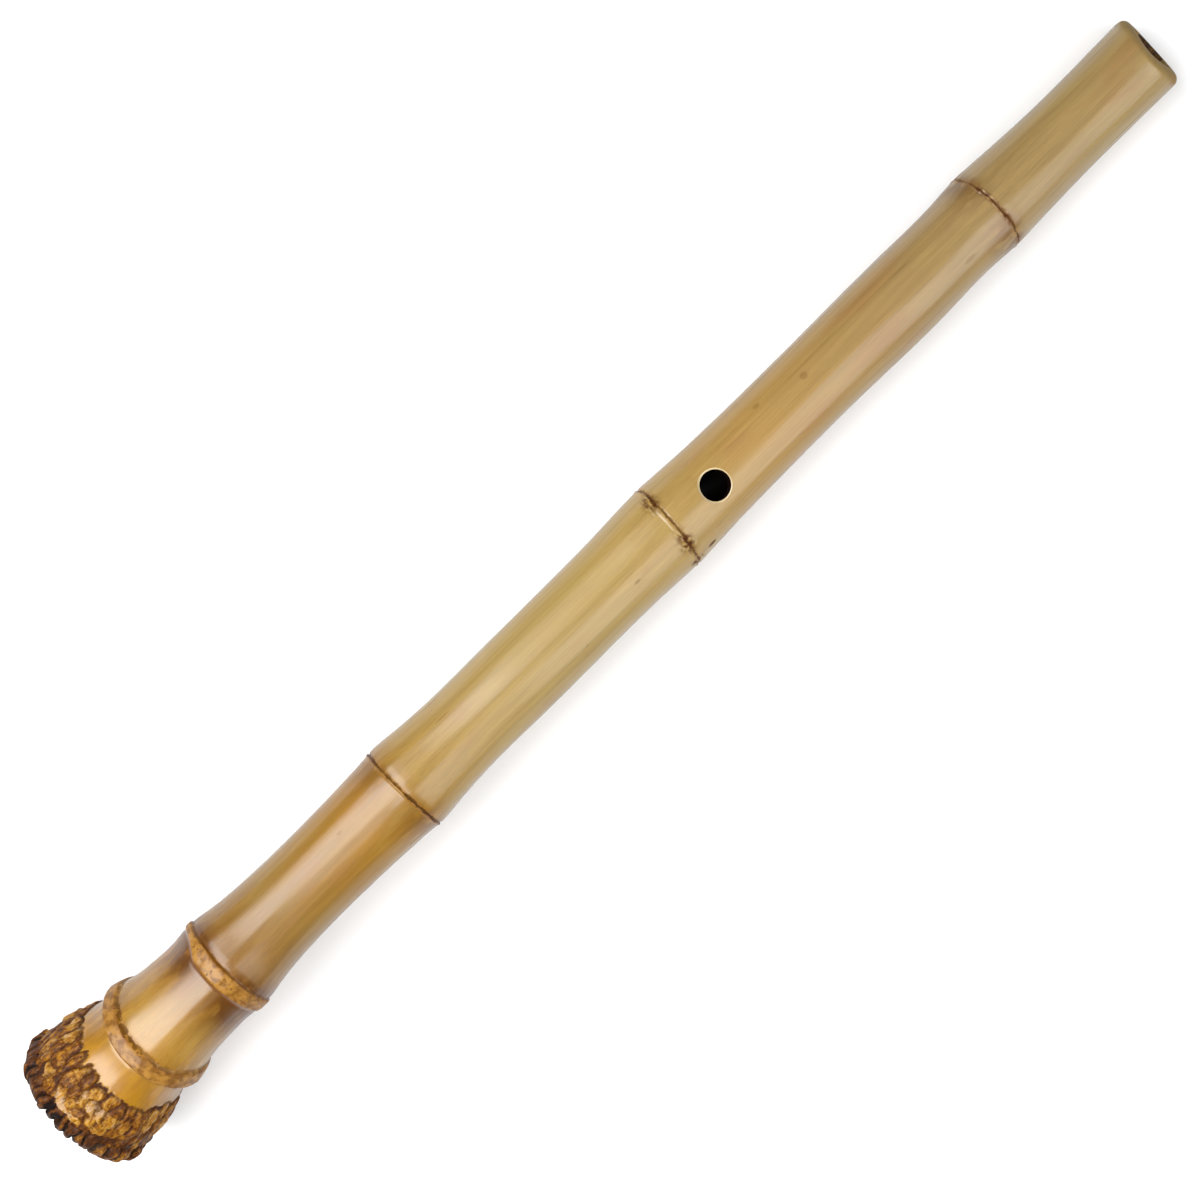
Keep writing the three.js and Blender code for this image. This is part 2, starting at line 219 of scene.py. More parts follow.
# The trimmed roots stand in rings and crowd each other. This is how far each ring is from the face, the step
# from root to root, half a root's length along the flute, its height, how pale its bark is, and how open the
# gaps round it are.
root_rings = [
    {"from_face": 27.4, "step": 4.6, "reach": 2.7, "height": 1.1, "pale": 0.4, "gap": 0.9},
    {"from_face": 22, "step": 4.5, "reach": 3.5, "height": 1.2, "pale": 0.45, "gap": 0.85},
    {"from_face": 16.4, "step": 4.9, "reach": 4, "height": 0.9, "pale": 0.42, "gap": 0.6},
    {"from_face": 12, "step": 6, "reach": 2.3, "height": 0.6, "pale": 0.3, "gap": 0.4},
    {"from_face": 4.4, "step": 4.1, "reach": 6.3, "height": 1.7, "pale": 0.02, "gap": 1},
]
uppermost_ring, pale_ring = 0, 3
crowding = 1.22  # how much wider a root would be with no neighbours
root_squareness = 2.6  # 2 makes a root's outline an oval, and more makes it squarer
root_dome = 1.3  # how far from its edge a root has its full height
root_zone_length = 34
first_rooted_station = flute_length - root_zone_length - 8


def cut_roots():
    """The trimmed roots, each a little off its ring's own place, size and tone."""
    draw = np.random.default_rng(7)
    found = []
    for number, ring in enumerate(root_rings):
        station = flute_length - ring["from_face"]
        count = round(2 * math.pi * float(culm_radius(station)) / ring["step"])
        for i in range(count):
            found.append({
                "station": station + draw.uniform(-0.6, 0.6),
                "angle": math.pi - rest_roll + (i + 0.5 + draw.uniform(-0.25, 0.25)) / count * 2 * math.pi,
                "half_width": crowding * ring["step"] / 2 * draw.uniform(0.75, 1.15),
                "half_length": crowding * ring["reach"] * draw.uniform(0.8, 1.15),
                "height": ring["height"] * draw.uniform(0.4, 1.25),
                "pale": np.clip(ring["pale"] + draw.uniform(-0.3, 0.35), 0, 1),
                "gap": ring["gap"] * draw.uniform(0.6, 1.1),
                "ring": number,
            })
    return {name: np.array([root[name] for root in found]) for name in found[0]}


roots = cut_roots()

# What the finish follows from spot to spot: the distance from a scar's upper and lower line, its band, the
# stain round it with the painted shade on the root end's flanks, its line's ink, its torn places, how far
# inside a root's edge a spot is, how pale that root is, how open its gap, and where the roots are.
far_off = 14
no_marks = {
    "upper_line": far_off, "lower_line": far_off, "band": 0, "stain_and_side_shade": 0, "ink": 0,
    "torn": 0, "root_edge": -2, "root_pale": 0, "root_gap": 0, "root_zone": 0,
}


def root_relief(station, angle, radius):
    """How far the trimmed roots stand off the root end, and the marks that their bark follows."""
    spot = np.stack([radius * np.sin(angle), radius * np.cos(angle), station], -1)
    # The roots' outlines are uneven, because each spot is looked up a little off its own place.
    station = station + 0.8 * ripple(spot, (6, 6, 7), 21) + 0.25 * ripple(spot, (2, 2, 2.5), 23)
    angle = angle + (0.8 * ripple(spot, (7, 7, 10), 22) + 0.2 * ripple(spot, (2, 2, 5), 24)) / radius
    from_face = flute_length - station
    across = np.abs(wrapped(angle[:, None] - roots["angle"]) * radius[:, None]) / roots["half_width"]
    along = np.abs(station[:, None] - roots["station"]) / roots["half_length"]
    reach = (across**root_squareness + along**root_squareness) ** (1 / root_squareness)
    nearest = reach.argmin(1)
    own = reach.min(1)
    root = {name: values[nearest] for name, values in roots.items()}

    # The nearest neighbour beside a root, and the nearest one in another ring, take their share of the room.
    reach[np.arange(len(station)), nearest] = np.inf
    same_ring = roots["ring"] == root["ring"][:, None]
    beside = np.where(same_ring, reach, np.inf).min(1)
    beyond = np.where(same_ring, np.inf, reach).min(1)
    inside = np.minimum(1 - own, (beside - own) * 0.45)
    inside = np.minimum(inside, (beyond - own) * 1.5 + 0.14)
    inside = inside * np.minimum(root["half_width"], root["half_length"])

    # Each root is a step with a dome on it, and its bark is ribbed. The crevices deepen next to the face.
    dome = 1 - (1 - np.clip(inside / root_dome, 0, 1)) ** 2
    rise = root["height"] * (0.3 * ramp(1 - own, -0.05, 0.05) + 0.7 * dome)
    crevice = (0.1 + 0.45 * root["gap"]) * bump(inside, 0.26) * ramp(1.3 - own, 0, 0.2)
    rise -= crevice * (2 - ramp(from_face, 9, 12))
    rise += 0.15 * ramp(inside, 0, 0.6) * ripple(spot, (1.6, 1.6, 6), 25)

    # Painted shade reaches further into the bark at the upper edge of the uppermost roots and between the
    # outer roots, most in the middle, below a pale strip.
    upper_edge = (root["ring"] == uppermost_ring) * ramp(root["station"] - station, 0.5, 2)
    middle = bump(wrapped(angle + rest_roll - 0.22), 0.3)
    edge = inside - 0.1 * upper_edge - (0.32 + 0.45 * middle) * (1 - ramp(from_face, 6, 10))
    strip = (root["ring"] == pale_ring) * bump(wrapped(angle - 0.13), 0.3)

    # Between the uppermost roots the skin shows, and below them there is bark everywhere.
    above = from_face - root_rings[uppermost_ring]["from_face"]
    on_roots = ramp(1.22 - own, 0, 0.12) * (1 - ramp(above, 3.5, 4))
    return rise, {
        "root_edge": np.maximum(edge, no_marks["root_edge"]),
        "root_pale": np.clip(root["pale"] + 0.6 * strip, 0, 1),
        "root_gap": root["gap"],
        "root_zone": np.maximum(on_roots, 1 - ramp(above, 1.6, 2.1)),
    }


def culm_relief(station, angle):
    """How far a ring's skin stands off the culm's plain radius, and the marks that its finish follows."""
    radius = culm_radius(station)
    spot = np.stack([radius * np.sin(angle), radius * np.cos(angle), station], -1)
    left = np.sin(angle)
    sides = left**2
    marks = {name: np.full(len(station), float(value)) for name, value in no_marks.items()}
    # Long waves and fine ribs all over, and a root end that is wider at its sides next to the face
    rise = 0.14 * ripple(spot, (16, 16, 65), 3) + 0.03 * ripple(spot, (3.5, 3.5, 60), 4)
    rise += 1.8 * sides * bump(flute_length - 3 - station, 7)

    for number, (node, scar) in enumerate(zip(node_stations, scars)):
        slanted = node - scar["slant"] * left
        upper = slanted - scar["before"] - scar["side"][0] * sides
        upper = upper + scar["wander"] * waver(angle, 30 + number)
        lower = slanted + scar["after"] + scar["side"][1] * sides - scar["narrow"] * ramp(left, 0.45, 0.9)
        lower = lower + 0.3 * scar["wander"] * waver(angle, 40 + number)
        down, past = station - upper, station - lower
        share = np.clip(down / (lower - upper), 0, 1)
        proud = scar["proud"][0] * (1 - share) + scar["proud"][1] * share
        rise += 0.12 * bump(down + 2.6, 2.2)  # the skin swells before the line
        rise -= scar["depth"] * bump(down + 0.1, 0.3)  # the line is a groove
        rise += proud * ramp(down, -0.15, 0.5) * (1 - ramp(past, -0.5, 0.5))
        nearer = np.abs(down) < marks["upper_line"]
        marks["upper_line"] = np.where(nearer, np.abs(down), marks["upper_line"])
        patchy = 0.75 + scar["broken"] * waver(angle, 50 + number)
        marks["ink"] = np.where(nearer, np.clip(scar["dark"] * patchy, 0, 1), marks["ink"])
        marks["stain_and_side_shade"] += scar["stain_and_side_shade"] * bump(np.minimum(down, 0), 3) * bump(np.maximum(past, 0), 9)
        if number >= first_broad_scar:
            rise -= 0.2 * bump(past - 0.5, 0.6)  # a groove below the scar
            marks["lower_line"] = np.minimum(marks["lower_line"], np.abs(past - 0.25))
            band = ramp(down, 0, 0.5) * (1 - ramp(past, -0.5, 0.1))
            marks["band"] = np.maximum(marks["band"], band)
    rise += 0.06 * marks["band"] * ripple(spot, (3, 3, 2), 14)

    # The node stains fade out along the back and stay at the sides. From between the last two nodes down
    # to the face, painted shade darkens the flanks as well.
    marks["stain_and_side_shade"] *= 1 - 0.9 * bump(wrapped(angle - 0.1), 0.5)
    marks["stain_and_side_shade"] += 0.4 * sides * ramp(station, node_stations[3] + 6, last_node - 8)

    for number, at, width, along in torn_places:
        down = station - node_stations[number] + 0.2 + 0.6 * scars[number]["slant"] * left
        marks["torn"] += bump(wrapped(angle - at), width) * bump(down, along)
    ragged = ramp(ripple(spot, (2.5, 2.5, 2), 12), -0.9, -0.1)
    marks["torn"] = np.clip(1.5 * marks["torn"], 0, 1) * ragged
    rise += 0.3 * marks["torn"] * ripple(spot, (1.5, 1.5, 1.1), 13)

    if station[0] > first_rooted_station:
        root_rise, root_marks = root_relief(station, angle, radius)
        rise += root_rise
        marks.update(root_marks)
    return rise, marks


columns = 176
fine_from = 461  # from this station on, rings have twice the columns
rim_rounding = 3.2
edge_rounding = 0.5
rim_dip = 1.5
lining_wall = 1.2
lining_top_play = 0.1  # how far above the lining its seat ends
face_notch = 1  # how far the gaps between the outer roots cut into the face
skin_slot, cut_slot = 0, 1


def skin_stations():
    """The stations of the skin's rings, wide apart on the plain culm and close at its nodes and roots."""
    station = rim_centre + rim_rounding + 1
    while station < flute_length - 0.7:
        yield station
        from_node = min(abs(station - node) for node in node_stations)
        if station > flute_length - root_zone_length - 1:
            station += 0.5
        elif station > fine_from:
            station += 0.45 if from_node < 7 else 1
        else:
            station += 0.3 if from_node < 3 else 0.9 if from_node < 8 else 4.5


def put_in_scene(name, data):
    """A new object in the scene."""
    thing = bpy.data.objects.new(name, data)
    bpy.context.scene.collection.objects.link(thing)
    return thing


class Skin:
    """A closed skin of rings that run down the outside, over the sawn face and back up the bore."""

    def __init__(self):
        self.points = []
        self.faces = []
        self.slots = []
        self.marks = []
        self.rings = []

    def add(self, station, radius, slot, marks=None):
        """Adds a ring with as many points as it has radii, and joins it to the ring before."""
        count = len(radius)
        angle = around(count)
        station = np.broadcast_to(np.asarray(station, float), count)
        side, back = radius * np.sin(angle), radius * np.cos(angle)
        given = {name: np.full(count, float(value)) for name, value in no_marks.items()}
        given.update(marks or {})
        given["lay"] = np.stack([side, back, station], -1)
        first = sum(len(ring) for ring in self.points)
        self.points.append(place_on_flute(station, side, back))
        self.marks.append(given)
        if self.rings:
            self.join(self.rings[-1], (first, count), slot)
        self.rings.append((first, count))

    def join(self, one, two, slot):
        """Joins two rings by faces. One of them may have twice the other's points."""
        (a, n), (b, m) = one, two
        i = np.arange(min(n, m))
        if n == m:
            rows = [(a + i, a + (i + 1) % n, b + (i + 1) % n, b + i)]
        elif m == 2 * n:
            rows = [
                (a + i, a + (i + 1) % n, b + (2 * i + 2) % m, b + 2 * i + 1),
                (a + i, b + 2 * i + 1, b + 2 * i),
            ]
        else:
            rows = [
                (a + 2 * i, a + 2 * i + 1, b + i),
                (a + 2 * i + 1, a + (2 * i + 2) % n, b + (i + 1) % m, b + i),
            ]
        for row in rows:
            self.faces += np.stack(row, -1).tolist()
            self.slots += [slot] * len(i)

    def piece(self, name, materials):
        """The finished skin as a piece. Its marks become attributes, which the finish reads."""
        self.join(self.rings[-1], self.rings[0], self.slots[0])
        mesh = bpy.data.meshes.new(name)
        mesh.from_pydata(np.concatenate(self.points).tolist(), [], self.faces)
        mesh.polygons.foreach_set("material_index", self.slots)
        mesh.polygons.foreach_set("use_smooth", [True] * len(self.slots))
        corners = np.empty(len(mesh.loops), np.int32)
        mesh.loops.foreach_get("vertex_index", corners)
        for key in self.marks[0]:
            value = np.concatenate([marks[key] for marks in self.marks])[corners]
            kind, field = ("FLOAT_VECTOR", "vector") if value.ndim > 1 else ("FLOAT", "value")
            mesh.attributes.new(key, kind, "CORNER").data.foreach_set(field, value.ravel())
        for material in materials:
            mesh.materials.append(material)
        mesh.transform(flute_place)
        return put_in_scene(name, mesh)


def dipped(station, angle):
    """Stations at the mouth, moved down at the back, where the chin rests and the rim is rubbed hollow."""
    hollow = rim_dip * bump(wrapped(angle), 0.75)
    return station + hollow * (1 - ramp(station, rim_centre, rim_centre + 8))


def even(radius, count=columns):
    """The radii of a plain round ring."""
    return np.full(count, float(radius))


def grow_outside(skin):
    """The rounded rim, and the outside with its nodes and roots down to the face."""
    rim_radius = culm_radius(rim_centre + rim_rounding)
    for turn in np.linspace(0, math.pi / 2, 9):
        station = rim_centre + rim_rounding * (1 - math.cos(turn))
        radius = rim_radius - rim_rounding * (1 - math.sin(turn))
        skin.add(dipped(station, around(columns)), even(radius), skin_slot)
    for station in skin_stations():
        angle = around(columns if station < fine_from else columns * 2)
        ring = np.full(len(angle), station)
        rise, marks = culm_relief(ring, angle)
        notch = face_notch * ramp(station, flute_length - 4, flute_length)
        notch = notch * (1 - ramp(marks["root_edge"], -0.5, 0.15))
        skin.add(dipped(ring, angle) - notch, culm_radius(ring) + rise, skin_slot, marks)


def grow_face(skin):
    """The sawn root face, notched between the outer roots and flat further in."""
    angle = around(columns * 2)
    rise, marks = culm_relief(np.full(len(angle), flute_length - 0.5), angle)
    notch = face_notch * (1 - ramp(marks["root_edge"], -0.5, 0.15))
    outer = culm_radius(flute_length) + rise
    inner = float(bore_radius(flute_length)) + lining_wall
    skin.add(flute_length - 0.1 - notch, outer - 0.2, skin_slot, marks)
    skin.add(flute_length - notch, outer - 0.6, cut_slot, marks)
    for share in (0.05, 0.12, 0.4, 0.7):
        radius = (outer - 0.6) * (1 - share) + inner * share
        skin.add(flute_length - notch * (1 - ramp(share, 0, 0.12)), radius, cut_slot)
    skin.add(flute_length, even(inner), cut_slot)


def grow_bore(skin):
    """The lining's seat, the bare bore above it, and the inner edge of the rim."""
    for station in np.arange(flute_length - 30, lacquer_top + 15, -30):
        skin.add(station, even(bore_radius(station) + lining_wall), cut_slot)
    seat_top = lacquer_top - lining_top_play
    skin.add(seat_top, even(bore_radius(lacquer_top) + lining_wall), cut_slot)
    for station in (seat_top, rim_centre + 6):
        skin.add(dipped(station, around(columns)), even(bore_radius(station)), cut_slot)
    for turn in np.linspace(math.pi / 2, 0, 4):
        station = rim_centre + edge_rounding * (1 - math.cos(turn))
        radius = bore_radius(rim_centre) + edge_rounding * (1 - math.sin(turn))
        skin.add(dipped(station, around(columns)), even(radius), skin_slot)


def paint(code):
    """A colour from its six-digit code, for a shader."""
    parts = [int(code[i:i + 2], 16) / 255 for i in (0, 2, 4)]
    return [part / 12.92 if part < 0.04045 else ((part + 0.055) / 1.055) ** 2.4 for part in parts] + [1]


def new_finish(name):
    """A new material, its nodes and its shader."""
    material = bpy.data.materials.new(name)
    material.use_nodes = True
    return material, material.node_tree, material.node_tree.nodes["Principled BSDF"]


def fill(tree, node, inputs):
    """Fills a node's inputs, each with a value or with a link from another node's output."""
    for socket, value in inputs.items():
        if isinstance(value, bpy.types.NodeSocket):
            tree.links.new(value, node.inputs[socket])
        else:
            node.inputs[socket].default_value = value


def add_node(tree, kind, inputs=None, **settings):
    """A new node with its settings and inputs."""
    node = tree.nodes.new("ShaderNode" + kind)
    for name, value in settings.items():
        setattr(node, name, value)
    fill(tree, node, inputs or {})
    return node


def stretch(tree, vector, scales):
    """The vector, with each of its parts made so many times larger."""
    return add_node(tree, "VectorMath", {0: vector, 1: scales}, operation="MULTIPLY").outputs[0]


def noise(tree, vector, scales, detail=2, roughness=0.5):
    """Noise that is as fine as the scales say, in ripples to the millimetre across, back and along."""
    inputs = {"Vector": stretch(tree, vector, scales), "Scale": 1, "Detail": detail, "Roughness": roughness}
    return add_node(tree, "TexNoise", inputs).outputs["Fac"]


def between(tree, value, low, high, start=0, end=1):
    """Runs smoothly from start to end while the value runs from low to high."""
    inputs = {0: value, 1: low, 2: high, 3: start, 4: end}
    return add_node(tree, "MapRange", inputs, interpolation_type="SMOOTHSTEP").outputs[0]


def calculate(tree, operation, result, *values):
    """The result of an operation with each of the values in turn."""
    for value in values:
        result = add_node(tree, "Math", {0: result, 1: value}, operation=operation).outputs[0]
    return result


def times(tree, one, two):
    """One value times the other."""
    return calculate(tree, "MULTIPLY", one, two)


def mix(tree, amount, one, two, kind="MIX"):
    """The first colour, with that amount of the second one over it."""
    return add_node(tree, "Mix", {0: amount, 6: one, 7: two}, data_type="RGBA", blend_type=kind).outputs[2]


def colour_scale(tree, value, stops):
    """The colour for a value from 0 to 1, between the colours at its stops."""
    scale = add_node(tree, "ValToRGB", {0: value})
    elements = scale.color_ramp.elements
    for number, (position, code) in enumerate(stops):
        stop = elements[number] if number < 2 else elements.new(position)
        stop.position = position
        stop.color = paint(code)
    return scale.outputs[0]


def relief(tree, height, strength=1, distance=mm):
    """The normals of a fine relief with that height."""
    return add_node(tree, "Bump", {"Strength": strength, "Distance": distance, "Height": height}).outputs[0]


def mark(tree, name):
    """One of the skin's marks, as a value."""
    return add_node(tree, "Attribute", attribute_name=name, attribute_type="GEOMETRY").outputs["Fac"]


def lay_of_bamboo(tree):
    """Where a spot lay on the straight culm, and its station."""
    lay = add_node(tree, "Attribute", attribute_name="lay", attribute_type="GEOMETRY").outputs["Vector"]
    return lay, add_node(tree, "SeparateXYZ", {0: lay}).outputs[2]


def new_group(name, inputs, outputs):
    """A node group with its named inputs and their defaults, and its outputs."""
    group = bpy.data.node_groups.new(name, "ShaderNodeTree")
    for label, default in inputs.items():
        kind = "NodeSocketVector" if default is None else "NodeSocketFloat"
        socket = group.interface.new_socket(label, in_out="INPUT", socket_type=kind)
        if default is not None:
            socket.default_value = default
    for label in outputs:
        group.interface.new_socket(label, in_out="OUTPUT", socket_type="NodeSocketFloat")
    return group, group.nodes.new("NodeGroupInput").outputs, group.nodes.new("NodeGroupOutput")


def use_group(tree, group, inputs):
    """What a node group puts out for those inputs."""
    return add_node(tree, "Group", inputs, node_tree=group).outputs


# The bamboo's grain: fine fibres, broader streaks and soft blotches, all drawn out along the culm.
grain, given, put_out = new_group("bamboo_grain", {"Lay": None}, ["Fibres", "Streaks", "Blotches"])
fill(grain, put_out, {
    "Fibres": noise(grain, given["Lay"], (2.4, 2.4, 0.035), 3, 0.6),
    "Streaks": noise(grain, given["Lay"], (0.5, 0.5, 0.013), 2),
    "Blotches": noise(grain, given["Lay"], (0.07, 0.07, 0.022), 3, 0.6),
})

# Pores: the dark dots of root hairs on scars and roots, and of the fibre bundles where bamboo is cut. They
# lie in cells of random shape, and some cells have none.
pores, given, put_out = new_group("bamboo_pores", {"Lay": None, "Scale": 1.0, "Size": 0.2}, ["Pores"])
inputs = {"Vector": given["Lay"], "Scale": given["Scale"], "Randomness": 1}
cells = add_node(pores, "TexVoronoi", inputs).outputs
dot = between(pores, cells["Distance"], given["Size"], times(pores, given["Size"], 1.8), 1, 0)
chance = add_node(pores, "SeparateColor", {0: cells["Color"]}).outputs[0]
fill(pores, put_out, {"Pores": times(pores, dot, between(pores, chance, 0.45, 0.6))})

# The skin's colour by station: pinkish tan at the mouth, olive gold in the middle, amber at the root.
skin_colours = [
    (10, "967d4c"), (127, "927748"), (208, "9a7940"), (256, "9d8147"), (315, "9a814b"), (350, "987d46"),
    (374, "947436"), (385, "8c6420"), (400, "8e661f"), (440, "84632a"), (458, "7e5a22"), (474, "7a5018"),
    (490, "9a7431"), (512, "a07116"),
]
# The bark's colour by how pale it is, from nearly black to rubbed tan
bark_colours = [(0, "361902"), (0.3, "6c3e08"), (0.55, "926112"), (0.8, "a87c30"), (1, "b08e6a")]
# Small marks on the skin: station, angle in degrees, half-length, half-width and strength
blemishes = [
    (246.5, -60, 2.1, 1, 1), (275.3, -17, 1.4, 0.6, 0.35), (356, 36, 4, 0.25, 0.35),
    (183.6, 21, 1.6, 1.5, 0.3), (202.7, 38, 1.6, 1, 0.3), (132.5, 31, 4.5, 0.2, 0.4),
    (112, -25, 3, 0.9, 0.25), (408, 22, 1.2, 0.5, 0.3), (303, -32, 1, 0.5, 0.25),
]


def aged_skin(tree, lay, station, fibre):
    """The skin's colour, with its blotches, its grain, the stains at its nodes and painted shade on the root
    end's flanks.
    """
    stops = [(at / flute_length, code) for at, code in skin_colours]
    colour = colour_scale(tree, calculate(tree, "DIVIDE", station, flute_length), stops)
    colour = mix(tree, between(tree, fibre["Blotches"], 0.52, 0.7, 0, 0.3), colour, paint("8f5f36"))
    colour = mix(tree, between(tree, fibre["Blotches"], 0.47, 0.3, 0, 0.2), colour, paint("9c8848"))
    colour = mix(tree, 1, colour, between(tree, fibre["Streaks"], 0.3, 0.7, 0.94, 1.07), "MULTIPLY")
    colour = mix(tree, 1, colour, between(tree, fibre["Fibres"], 0.3, 0.7, 0.92, 1.07), "MULTIPLY")
    patches = between(tree, noise(tree, lay, (0.3, 0.3, 0.12), 3), 0.34, 0.54, 0.15, 0.95)
    # This dark brown is the node stains and also painted shade on the root end's flanks.
    return mix(tree, times(tree, mark(tree, "stain_and_side_shade"), patches), colour, paint("583408"))


def blemish_spots(tree, lay):
    """Soft oval spots at the blemishes."""
    spots = 0
    for at, turn, half_length, half_width, strength in blemishes:
        radius = float(culm_radius(at))
        way = math.radians(turn)
        centre = (radius * math.sin(way), radius * math.cos(way), at)
        off = add_node(tree, "VectorMath", {0: lay, 1: centre}, operation="SUBTRACT").outputs[0]
        off = stretch(tree, off, (1 / half_width, 1 / half_width, 1 / half_length))
        off = add_node(tree, "VectorMath", {0: off}, operation="LENGTH").outputs["Value"]
        spots = calculate(tree, "MAXIMUM", spots, between(tree, off, 1.2, 0.6, 0, strength))
    return spots


def scarred(tree, lay, colour, dots):
    """The colour with tan scars and their dark lines over it, and where bands, halos and hollows are."""
    band, ink = mark(tree, "band"), mark(tree, "ink")
    upper_line, lower_line = mark(tree, "upper_line"), mark(tree, "lower_line")
    mottle = noise(tree, lay, (0.35, 0.35, 0.5), 3, 0.55)
    tan = mix(tree, between(tree, mottle, 0.38, 0.62), paint("744a12"), paint("9c6f2c"))
    pitted = times(tree, dots, between(tree, mottle, 0.45, 0.6, 0.1, 0.85))
    tan = mix(tree, pitted, tan, paint("4e2a10"))
    colour = mix(tree, band, colour, tan)

    ragged = noise(tree, lay, (0.6, 0.6, 0.6), 3)
    shifted = calculate(tree, "ADD", upper_line, between(tree, ragged, 0.3, 0.7, -0.42, 0.42))
    line = times(tree, between(tree, shifted, 0.62, 0.28), ink)
    halo = between(tree, upper_line, 1.8, 0.3, 0, 0.45)
    colour = mix(tree, times(tree, halo, ink), colour, paint("8c5624"))
    colour = mix(tree, line, colour, paint("3f2000"))
    colour = mix(tree, between(tree, lower_line, 0.9, 0.1, 0, 0.75), colour, paint("6a3f1a"))
    torn = times(tree, mark(tree, "torn"), between(tree, ragged, 0.35, 0.55, 0.3, 1))
    colour = mix(tree, torn, colour, paint("4c2608"))
    return colour, band, halo, calculate(tree, "MAXIMUM", line, torn)


def root_bark(tree, lay, station, dots, knobs):
    """The roots' colour, from rubbed tan tops to nearly black painted shade in the crevices, and where the
    crevices are.
    """
    edge, gap = mark(tree, "root_edge"), mark(tree, "root_gap")
    clumps = between(tree, noise(tree, lay, (0.16, 0.16, 0.16), 2), 0.35, 0.65, -0.15, 0.15)
    uneven = between(tree, knobs, 0.3, 0.7, -0.25, 0.25)
    pale = calculate(tree, "ADD", mark(tree, "root_pale"), clumps, uneven)
    colour = colour_scale(tree, pale, bark_colours)
    colour = mix(tree, times(tree, dots, 0.5), colour, paint("3c1e0a"))
    stripes = noise(tree, lay, (2, 2, 0.35), 2)
    colour = mix(tree, 1, colour, between(tree, stripes, 0.3, 0.7, 0.82, 1.15), "MULTIPLY")
    wavy = calculate(tree, "ADD", edge, between(tree, knobs, 0.3, 0.7, -0.2, 0.2))
    # Painted shade: the bark darkens towards each root's edge, more where its gap is open.
    shaded = times(tree, between(tree, wavy, 1.2, 0.3, 0, 0.75), gap)
    colour = mix(tree, shaded, colour, paint("522a08"))
    # Painted shade: the crevices between the roots are nearly black, blackest next to the face.
    crevice = times(tree, between(tree, wavy, 0.42, 0.12), calculate(tree, "MINIMUM", gap, 1))
    near_face = between(tree, station, flute_length - 13, flute_length - 8)
    colour = mix(tree, crevice, colour, mix(tree, near_face, paint("3c1d08"), paint("180c06")))
    return colour, crevice


def finish_skin():
    """The outside: thinly lacquered skin, dull where it is scarred, spotted, worn or bark."""
    material, tree, shader = new_finish("bamboo_skin")
    lay, station = lay_of_bamboo(tree)
    fibre = use_group(tree, grain, {"Lay": lay})
    dots = use_group(tree, pores, {"Lay": lay, "Scale": 0.75, "Size": 0.17})["Pores"]
    knobs = noise(tree, lay, (0.9, 0.9, 0.4), 3, 0.6)
    spots = blemish_spots(tree, lay)
    worn_rim = between(tree, station, rim_centre + 2.2, rim_centre + 5.5, 1, 0)
    roots_here = mark(tree, "root_zone")

    colour = aged_skin(tree, lay, station, fibre)
    colour = mix(tree, times(tree, worn_rim, 0.15), colour, paint("5e421a"))
    colour = mix(tree, spots, colour, paint("532e00"))
    colour, band, halo, sunken = scarred(tree, lay, colour, dots)
    bark, crevice = root_bark(tree, lay, station, dots, knobs)
    colour = mix(tree, roots_here, colour, bark)

    rough = calculate(
        tree, "MAXIMUM", between(tree, fibre["Streaks"], 0.3, 0.7, 0.27, 0.36),
        times(tree, band, 0.48), times(tree, worn_rim, 0.6), times(tree, roots_here, 0.55),
    )
    sunken = calculate(tree, "MAXIMUM", sunken, times(tree, crevice, roots_here))
    bare = calculate(tree, "MAXIMUM", worn_rim, spots)
    lacquer = calculate(
        tree, "SUBTRACT", 1, times(tree, roots_here, 0.92), bare, times(tree, band, 0.55), halo, sunken,
    )
    pits = calculate(tree, "SUBTRACT", times(tree, knobs, 0.18), times(tree, dots, 0.2))
    height = calculate(
        tree, "ADD", times(tree, fibre["Fibres"], 0.05), times(tree, fibre["Streaks"], 0.08),
        times(tree, calculate(tree, "MAXIMUM", band, roots_here), pits),
    )
    fill(tree, shader, {
        "Base Color": colour, "Roughness": rough, "Specular IOR Level": 0.14,
        "Coat Weight": calculate(tree, "MAXIMUM", lacquer, 0), "Coat Roughness": 0.24, "Coat IOR": 1.52,
        "Normal": relief(tree, height),
    })
    return material


def finish_cut():
    """Bare cut bamboo: pale, with the dots of the fibre bundles, and browner at the old root face."""
    material, tree, shader = new_finish("bamboo_cut")
    lay, station = lay_of_bamboo(tree)
    end_grain = stretch(tree, lay, (1, 1, 0.25))
    bundles = use_group(tree, pores, {"Lay": end_grain, "Scale": 1.5, "Size": 0.22})["Pores"]
    cloud = noise(tree, lay, (0.4, 0.4, 0.4), 3)
    colour = mix(tree, between(tree, cloud, 0.35, 0.65), paint("c4ab78"), paint("dac8a0"))
    brown = mix(tree, between(tree, cloud, 0.4, 0.6), paint("805a2e"), paint("a5814f"))
    colour = mix(tree, between(tree, station, flute_length - 6, flute_length - 3, 0, 0.8), colour, brown)
    colour = mix(tree, times(tree, bundles, 0.6), colour, paint("8f6c3c"))
    fill(tree, shader, {
        "Base Color": colour, "Roughness": 0.42, "Coat Weight": 0.6, "Coat Roughness": 0.3,
        "Normal": relief(tree, times(tree, bundles, -0.08)),
    })
    return material


